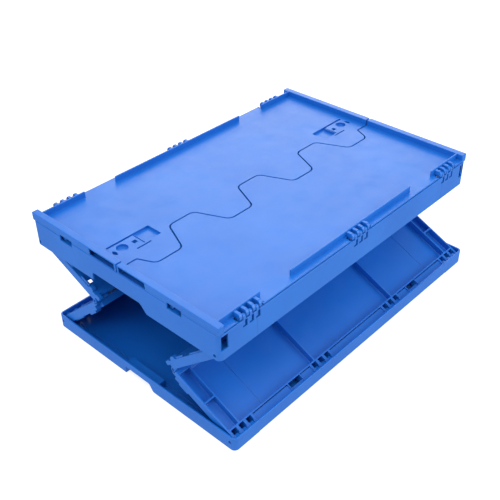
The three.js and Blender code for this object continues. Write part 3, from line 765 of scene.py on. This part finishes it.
def top_frame():
    front = -HALF_WIDE
    left = -HALF_LONG
    grip = moulded(grip_outline(14, 60, -61, 19), left - 1, left + 4, 0, 0, "x")
    windows = []
    for side in (-1, 1):
        window = sorted(side * x for x in WINDOW)
        windows.append(sunk(*window, WINDOW_LOW, WINDOW_HIGH, front, SHELL + 0.1, 0.8, 0, 0.3))
    slots = [
        solid
        for x in LOOP_LINES
        for solid in (
            block(x + 1.0, x + 5.4, front - PAST, front + SLOT_DEEP, 33, FRAME_HEIGHT - 0.8),
            block(x - 3.0, x + 5.4, front - PAST, front + SLOT_DEEP, 31.5, 34.8),
        )
    ]
    lines = [
        sunk(x - 0.3, x + 0.3, 1.5, FRAME_HEIGHT - 1, front, 0.2, 0.1, 0, 0.1)
        for x in (-PARTING_X, PARTING_X)
    ]
    end_slots = []
    for side in (-1, 1):
        y0, y1 = sorted([side * END_SLOT[0], side * END_SLOT[1]])
        slot = rectangle(y0, y1, END_SLOT_LOW, END_SLOT_TOP, 0.8)
        end_slots.append(moulded(slot, left - PAST, left + 8, 0, 0, "x"))
    bores = [
        rod(left - 1, -left + 1, -PIVOT_Y, FRAME_PIVOT, BORE, edge=0),
        rod(-192, 192, END_PIVOT_Z, -END_PIVOT_X, BORE, "y", edge=0),
        *(rod(x - PIN_HALF, x + PIN_HALF, -LID_PIVOT_Y, LID_PIVOT_Z, LID_BORE, edge=0) for x in LID_GROUPS),
    ]
    return machined(
        [moulded(footprint(), 0, FRAME_HEIGHT, 0.9, 0.9)],
        [moulded(footprint(SHELL), -PAST, FRAME_HEIGHT + PAST, 0, 0)],
        both_ways([*frame_side(), *frame_end()]),
        both_ways([*windows, *slots, *lines, *end_slots, grip, *bores]),
    )


# ---------------------------------------------------------------- lids, drawn for the front
RIB_BREAK = (147, 209)  # the edge ribs leave this stretch open
RECESS = (4.5, 60)  # finger recess under the end strips, from the joint
# Seal recesses, each x0, x1, y0, y1 from the middles of the crate and its depth
SEAL_CUTS = [
    (199, 277, 48.6, 52.2, 4.0),  # the long groove
    (196, 226.5, 22, 52, 4.4),  # the square pocket
    (227.4, 229.4, 22, 50, 1.5),  # the line beside it
    (219, 246, 16.8, 19.2, 4.0),  # the dash
    (233, 240.5, 31, 38, LID_TOP - BOSS_BOTTOM + 1),  # the peg hole
]
THUMB_AT = (259, 36)
THUMB_RADIUS = 9
THUMB_DEEP = 4.6
EYE_AT = (275, 33)
EYE_WIDE = 11  # radii of the arcs along its sides, across it and along it
EYE_LONG = 8.64
BOSS_X = (193, 280)
BOSS_Y = (16, 55)


def joint_corners():
    """The corners of the joint between the lids, from left to right: level at both ends, and between them
    flat-topped teeth whose slanted flanks are a wave step apart."""
    middle = WAVE_STEP * (np.arange(8) - 3.5)
    up = np.where(np.arange(8) % 2, -WAVE_HALF, WAVE_HALF)
    x = (middle[:, None] + [-FLANK, FLANK]).ravel()[1:-1]
    y = (up[:, None] * [1, -1]).ravel()[1:-1]
    ends = [[middle[0], 0]], [[middle[-1], 0]]
    return np.concatenate([ends[0], np.stack([x, y], axis=1), ends[1]])


def lid_outline(joint):
    """The lid panel: straight along its hinged edge and its ends, along the joint on the fourth side, and
    drawn in all round by half of the joint's gap."""
    end = HALF_LONG - 0.5 + SPLIT_GAP
    edge = LID_EDGE + SPLIT_GAP
    straight = [(-end, 0), (-end, -edge), (end, -edge), (end, 0)]
    radii = np.concatenate([[2.5, 3, 3, 2.5, 2.2], np.full(len(joint) - 2, WAVE_CORNER), [2.2]])
    outline = filleted(np.concatenate([straight, joint[::-1]]), radii, 7)
    return outline - SPLIT_GAP * outward(outline)


def lid_strips():
    """The raised channels along both ends: solid bars, and what hollows them out from below."""
    bars = []
    hollows = []
    front = -HALF_WIDE + 0.5
    for side in (-1, 1):
        out = side * HALF_LONG
        past = out + side * PAST
        wall = out - side * STRIP_WALL
        inner_wall = out - side * (STRIP_WIDE - 2.4)
        bars.append(bar(out, out - side * STRIP_WIDE, front, -SPLIT_GAP, STRIP_FOOT, STRIP_TOP, 1.0))
        hollows += [
            block(wall, inner_wall, front + STRIP_WALL, -2.7, LID_BOTTOM - 1, STRIP_TOP - 2.6),
            block(past, out - side * 0.5, front - 1, 1, STRIP_FOOT - 1, STRIP_SKIRT),
            block(past, out - side * 4, -RECESS[1], -RECESS[0], STRIP_FOOT + 1, STRIP_TOP - 1.3),
            block(past, out - side * 8, -END_SLOT[1], -END_SLOT[0], STRIP_FOOT - 1, END_SLOT_TOP),
        ]
    return bars, hollows


def lid_fingers():
    """Four hooked fingers at each hinge: each leaves the rib at its top and curls down round the pin."""
    solids = []
    half = FINGER_WIDE / 2
    rib = -RIB_FACE
    hook = filleted(
        [
            (rib + 1, LID_BOTTOM + 0.2),
            (rib + 1, 56.2),
            (-LID_PIVOT_Y - 0.6, 56.2),
            (-LID_PIVOT_Y - LID_KNUCKLE + 0.1, LID_PIVOT_Z + 3.4),
            (-LID_PIVOT_Y - LID_KNUCKLE + 0.1, LID_PIVOT_Z - 1.4),
            (-LID_PIVOT_Y + 2, LID_PIVOT_Z - 2.6),
            (rib - 2.6, LID_PIVOT_Z - 2.6),
            (rib - 2.6, LID_BOTTOM + 0.2),
        ],
        [0, 0, 2.5, 2.5, 1.2, 1, 1.5, 0],
        4,
    )
    for x in FINGER_LINES:
        solids += [
            moulded(hook, x - half, x + half, 0.6, 0.6, "x"),
            rod(x - half, x + half, -LID_PIVOT_Y, LID_PIVOT_Z, LID_KNUCKLE),
        ]
    return solids


def seal_recesses(side):
    """The recesses for a seal or a lock beside the joint, at one end of the back lid: straight cuts, a round
    thumb hollow, and a hole shaped like an eye, whose two sides are arcs of a quarter turn."""
    top = LID_TOP + PAST
    cuts = [
        block(side * x0, side * x1, -y0, -y1, LID_TOP - depth, top) for x0, x1, y0, y1, depth in SEAL_CUTS
    ]
    thumb = circle(side * THUMB_AT[0], -THUMB_AT[1], THUMB_RADIUS, 40)
    swing = np.linspace(-0.25, 0.25, 9) * math.pi
    sag = np.cos(swing) - math.cos(0.25 * math.pi)
    bow = np.stack([EYE_WIDE * sag, EYE_LONG * np.sin(swing)], axis=1)
    eye = np.concatenate([bow, -bow[1:-1]]) + [side * EYE_AT[0], -EYE_AT[1]]
    return [
        *cuts,
        moulded(thumb, LID_TOP - THUMB_DEEP, top, 0.8, 0),
        moulded(eye, BOSS_BOTTOM - PAST, top, 0, 0),
    ]


def seal_boss(side):
    """The thick part under the panel that the recesses are sunk into."""
    across = [side * x for x in BOSS_X]
    return bar(*across, -BOSS_Y[0], -BOSS_Y[1], BOSS_BOTTOM, LID_TOP - 1, 1.0)


def lid(joint, bosses, recesses):
    bars, hollows = lid_strips()
    inner = HALF_LONG - STRIP_WIDE + 1
    near, far = RIB_BREAK
    ribs = [
        bar(x0, x1, -RIB_FACE, -RIB_FACE + RIB_THICK, LID_BOTTOM + 0.8, STRIP_TOP)
        for x0, x1 in [(-near, near), (-inner, -far), (far, inner)]
    ]
    room = PIN_HALF + 2
    hinge_room = []
    pin_ends = []
    for x in LID_GROUPS:
        hinge_room.append(
            block(x - room, x + room, -LID_EDGE - 2, -RIB_FACE - 2.2, LID_BOTTOM - 1, LID_TOP + 1)
        )
        pin_ends.append(rod(x - room - 3, x + room + 3, -LID_PIVOT_Y, LID_PIVOT_Z, LID_BORE, edge=0))
    return machined(
        [moulded(lid_outline(joint), LID_BOTTOM, LID_TOP, 0.3, 0.4), *bars, *ribs, *bosses],
        [*hollows, *hinge_room],
        lid_fingers(),
        [*pin_ends, *recesses],
    )


# ---------------------------------------------------------------- putting it together
def blue_piece(name, mesh, place, node):
    """A blue moulding that takes the place of a CAD node of its own body."""
    piece(name, mesh, place, node, BLUE, "blue_plastic", node)


def add_pieces():
    blue_piece("base_moulding", base_tray(), at(), "base_tray")
    lower = lower_wall()
    upper = upper_wall()
    back_top = hinges["back_frame_raise"]
    front_top = np.array([0, FRAME_AT[1] - PIVOT_Y, back_top[2]])
    for name, half, top in (("front", False, front_top), ("back", True, back_top)):
        base = hinges[f"{name}_base_raise"]
        middle = hinges[f"{name}_mid_raise"]
        low_place = between(base, middle, (-PIVOT_OFFSET, WALL_RISE), half)
        high_place = between(middle, top, (PIVOT_OFFSET, WALL_RISE), half)
        blue_piece(f"{name}_lower_moulding", lower, low_place, f"{name}_lower_wall")
        blue_piece(f"{name}_upper_moulding", upper, high_place, f"{name}_upper_wall")
    blue_piece("frame_moulding", top_frame(), at(FRAME_AT), "top_frame")
    hung = end_wall()
    hung.transform(Matrix.Rotation(-math.pi / 2, 4, "Y"))
    hung.transform(Matrix.Translation((-END_PIVOT_X, 0, END_PIVOT_Z)))
    for name, half in (("left", False), ("right", True)):
        blue_piece(f"{name}_end_moulding", hung, at(FRAME_AT, half), f"{name}_end_wall")
    front_lid = lid(joint_corners(), [], [])
    back_lid = lid(
        -joint_corners()[::-1],
        [seal_boss(-1), seal_boss(1)],
        [*seal_recesses(-1), *seal_recesses(1)],
    )
    blue_piece("front_lid_moulding", front_lid, at(FRAME_AT), "front_lid")
    blue_piece("back_lid_moulding", back_lid, at(FRAME_AT, True), "back_lid")


def add_rods():
    """Every hinge rod and pin, round, and set in a little from the ends of its CAD node."""
    for node in frame["nodes"]:
        if "rod" not in node and "pin" not in node:
            continue
        low, high = span(node)
        middle = (low + high) / 2
        thick = (high - low).min() / 2
        set_in = PIN_SET_IN if "pin" in node else ROD_SET_IN
        if (high - low)[1] > (high - low)[0]:
            solid = rod(low[1] + set_in, high[1] - set_in, middle[2], middle[0], thick, "y")
        else:
            solid = rod(low[0] + set_in, high[0] - set_in, middle[1], middle[2], thick, "x")
        body = frame["nodes"][node]["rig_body"]
        piece(f"{node}_round", machined([solid]), at(), body, STEEL, "rod_steel", node)


add_pieces()
add_rods()
bpy.data.collections.remove(workshop)


# ---------------------------------------------------------------- camera, floor and lights
CAMERA_AZIMUTH = math.radians(-46.96)
CAMERA_ELEVATION = math.radians(36.02)
CAMERA_ROLL = math.radians(-0.65)
CAMERA_DISTANCE = 1.4137
CAMERA_TARGET = (0.02825, 0.07384, 0.03744)
CAMERA_LENS = 56.6
FLOOR_HALF = 6.0
LIGHTS_AIM = (0, 0, 0.1)
# Softboxes, each its place and its size in metres and its power in watts
SOFTBOXES = {
    "overhead_softbox": ((-0.5, -0.5, 2.2), 2.2, 41),
    "left_softbox": ((-1.9, 0.3, 1.0), 1.3, 13),
    "back_softbox": ((1.3, 1.2, 1.3), 1.8, 24),
    "front_softbox": ((0.9, -1.8, 0.7), 1.2, 19),
}
SKY_STRENGTH = 0.4


def add_camera():
    """Aims the camera at its target from an azimuth, an elevation and a distance, then rolls it."""
    data = bpy.data.cameras.new("studio_camera")
    data.sensor_width = 36.0
    data.lens = CAMERA_LENS
    camera = bpy.data.objects.new("studio_camera", data)
    bpy.context.scene.collection.objects.link(camera)
    away = Vector((
        math.sin(CAMERA_AZIMUTH) * math.cos(CAMERA_ELEVATION),
        -math.cos(CAMERA_AZIMUTH) * math.cos(CAMERA_ELEVATION),
        math.sin(CAMERA_ELEVATION),
    ))
    aim = (-away).to_track_quat("-Z", "Y").to_matrix().to_4x4()
    place = Matrix.Translation(Vector(CAMERA_TARGET) + away * CAMERA_DISTANCE)
    camera.matrix_world = place @ aim @ Matrix.Rotation(CAMERA_ROLL, 4, "Z")
    bpy.context.scene.camera = camera


def add_floor():
    mesh = bpy.data.meshes.new("studio_floor")
    half = FLOOR_HALF
    corners = [(-half, -half, 0), (half, -half, 0), (half, half, 0), (-half, half, 0)]
    mesh.from_pydata(corners, [], [(0, 1, 2, 3)])
    floor = bpy.data.objects.new("studio_floor", mesh)
    bpy.context.scene.collection.objects.link(floor)
    material = bpy.data.materials.new("studio_white")
    material.use_nodes = True
    shader = material.node_tree.nodes["Principled BSDF"]
    shader.inputs["Base Color"].default_value = (0.4, 0.4, 0.4, 1)
    shader.inputs["Roughness"].default_value = 0.9
    shader.inputs["Emission Color"].default_value = (1, 1, 1, 1)
    shader.inputs["Emission Strength"].default_value = 0.75
    mesh.materials.append(material)
    floor.visible_glossy = False


def add_softbox(name, place, size, watts):
    data = bpy.data.lights.new(name, "AREA")
    data.size = size
    data.energy = watts
    lamp = bpy.data.objects.new(name, data)
    bpy.context.scene.collection.objects.link(lamp)
    lamp.location = place
    lamp.rotation_euler = (Vector(LIGHTS_AIM) - Vector(place)).to_track_quat("-Z", "Y").to_euler()


def add_sky(strength):
    world = bpy.data.worlds.new("studio_world")
    world.use_nodes = True
    sky = world.node_tree.nodes["Background"]
    sky.inputs["Color"].default_value = (1, 1, 1, 1)
    sky.inputs["Strength"].default_value = strength
    bpy.context.scene.world = world


add_camera()
add_floor()
for name, (place, size, watts) in SOFTBOXES.items():
    add_softbox(name, place, size, watts)
add_sky(SKY_STRENGTH)
bpy.context.scene.view_settings.view_transform = "Standard"
